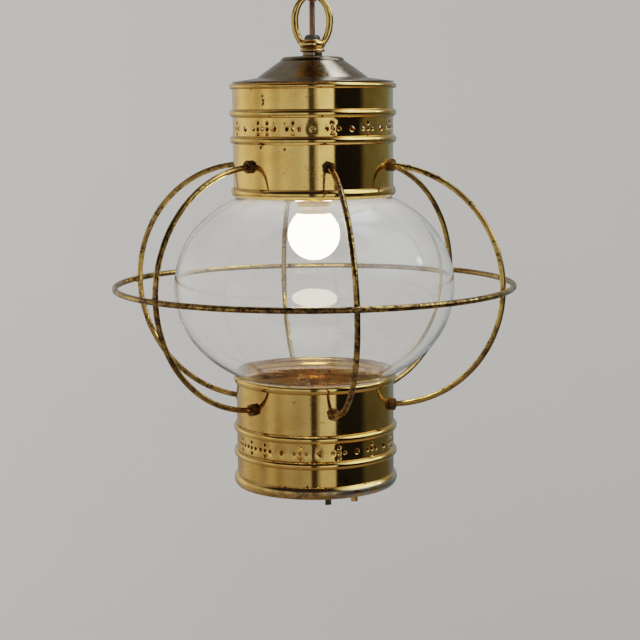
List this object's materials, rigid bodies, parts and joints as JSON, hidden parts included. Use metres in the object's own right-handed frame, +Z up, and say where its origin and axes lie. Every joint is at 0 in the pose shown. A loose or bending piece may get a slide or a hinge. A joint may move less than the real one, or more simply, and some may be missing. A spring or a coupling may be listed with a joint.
{
  "type": "ship lantern",
  "caption": "Hanging electric ship lantern: clear onion globe between two pierced brass drums, wire cage with a waist ring, hung on a link from a ceiling canopy.",
  "frame": {"origin": "centre of the ceiling face, on the hanging axis", "axes": "+Z up along the hanging axis; -Y is the front"},
  "size_m": [0.4065, 0.4064, 0.5962],
  "materials": {
    "polished_brass": "polished, lightly tarnished",
    "cage_brass": "worn brass with dark speckled tarnish",
    "bronze_cap": "dark antique bronze, satin",
    "loop_brass": "cast brass, polished",
    "canopy_brass": "spun brass, polished",
    "inner_brass": "plain stamped brass",
    "zinc_steel": "zinc plated",
    "dark_steel": "blackened steel",
    "green_screw": "green dyed earth screw",
    "clear_glass": "clear blown glass",
    "bulb_frost": "frosted, lit",
    "stem_glass": "clear pressed glass",
    "solder": "tin solder",
    "black_phenolic": "moulded phenolic",
    "fibre_liner": "vulcanised fibre",
    "cork": "cork",
    "cord_jacket": "brown moulded cord"
  },
  "bodies": {
    "ceiling_fitting": {"mounting_strap": "zinc_steel", "ceiling_nipple": "zinc_steel", "ceiling_locknuts": "zinc_steel", "ground_screw": "green_screw", "ceiling_loop": "loop_brass"},
    "canopy": {"ceiling_canopy": "canopy_brass"},
    "canopy_ring": {"canopy_ring": "loop_brass"},
    "link": {"chain_link": "loop_brass", "cord_upper": "cord_jacket"},
    "cover": {"bottom_cover": "polished_brass", "finger_tab": "dark_steel"},
    "cover_screw_1": {"cover_screw_1": "polished_brass"},
    "cover_screw_2": {"cover_screw_2": "polished_brass"},
    "cover_screw_3": {"cover_screw_3": "polished_brass"},
    "bulb_tip": {"bulb_contact": "solder"},
    "bulb": {"bulb_glass": "bulb_frost", "bulb_screw_base": "inner_brass", "bulb_insulator": "black_phenolic", "bulb_stem": "stem_glass"},
    "lantern": {"top_collar": "polished_brass", "bottom_collar": "polished_brass", "rib_1": "cage_brass", "rib_2": "cage_brass", "rib_3": "cage_brass", "rib_4": "cage_brass", "rib_5": "cage_brass", "rib_6": "cage_brass", "equator_ring": "cage_brass", "ring_solder_joints": "cage_brass", "outer_rib_nuts": "cage_brass", "inner_rib_nuts": "cage_brass", "top_cap": "bronze_cap", "vase_cap": "bronze_cap", "neck_spacer": "bronze_cap", "cord_bushing": "bronze_cap", "hanging_loop": "loop_brass", "check_ring": "loop_brass", "upper_glass_seat": "inner_brass", "lower_glass_seat": "inner_brass", "socket_shell": "inner_brass", "socket_cap": "inner_brass", "socket_screw_shell": "inner_brass", "socket_contact": "inner_brass", "cover_lugs": "inner_brass", "stem_tube": "zinc_steel", "stem_washer": "zinc_steel", "stem_locknut": "zinc_steel", "glass_globe": "clear_glass", "socket_base": "black_phenolic", "socket_insulator": "fibre_liner", "upper_glass_gasket": "cork", "lower_glass_gasket": "cork", "cord_lower": "cord_jacket", "cord_in_stem": "cord_jacket"}
  },
  "joints": [
    {"name": "canopy_slide", "type": "slide", "parent": "ceiling_fitting", "child": "canopy", "axis": [0, 0, -1], "range_m": [0, 0.012]},
    {"name": "canopy_ring_turn", "type": "hinge", "parent": "canopy", "child": "canopy_ring", "pos_m": [0, 0, -0.038], "axis": [0, 0, 1], "continuous": true},
    {"name": "link_swing", "type": "hinge", "parent": "ceiling_fitting", "child": "link", "pos_m": [0, 0, -0.07115], "axis": [0.766, -0.6428, 0], "range_deg": [-20, 20], "deforming": ["cord_upper"]},
    {"name": "lantern_swing", "type": "hinge", "parent": "link", "child": "lantern", "pos_m": [0, 0, -0.0986], "axis": [1, 0, 0], "range_deg": [-20, 20], "deforming": ["cord_lower"]},
    {"name": "cover_drop", "type": "slide", "parent": "lantern", "child": "cover", "axis": [0, 0, -1], "range_m": [0, 0.12]},
    {"name": "bulb_advance", "type": "slide", "parent": "lantern", "child": "bulb_tip", "axis": [0, 0, -1], "range_m": [0, 0.02161]},
    {"name": "bulb_turn", "type": "hinge", "parent": "bulb_tip", "child": "bulb", "pos_m": [0, 0, -0.294], "axis": [0, 0, 1], "range_deg": [0, 2160]},
    {"name": "cover_screw_1_turn", "type": "hinge", "parent": "cover", "child": "cover_screw_1", "pos_m": [0.03812, -0.05871, -0.588], "axis": [0, 0, 1], "continuous": true},
    {"name": "cover_screw_2_turn", "type": "hinge", "parent": "cover", "child": "cover_screw_2", "pos_m": [0.03178, 0.06237, -0.588], "axis": [0, 0, 1], "continuous": true},
    {"name": "cover_screw_3_turn", "type": "hinge", "parent": "cover", "child": "cover_screw_3", "pos_m": [-0.0699, -0.00366, -0.588], "axis": [0, 0, 1], "continuous": true}
  ],
  "couplings": [
    {"joint": "bulb_advance", "follows": "bulb_turn", "m_per_rad": 0.00057296}
  ]
}
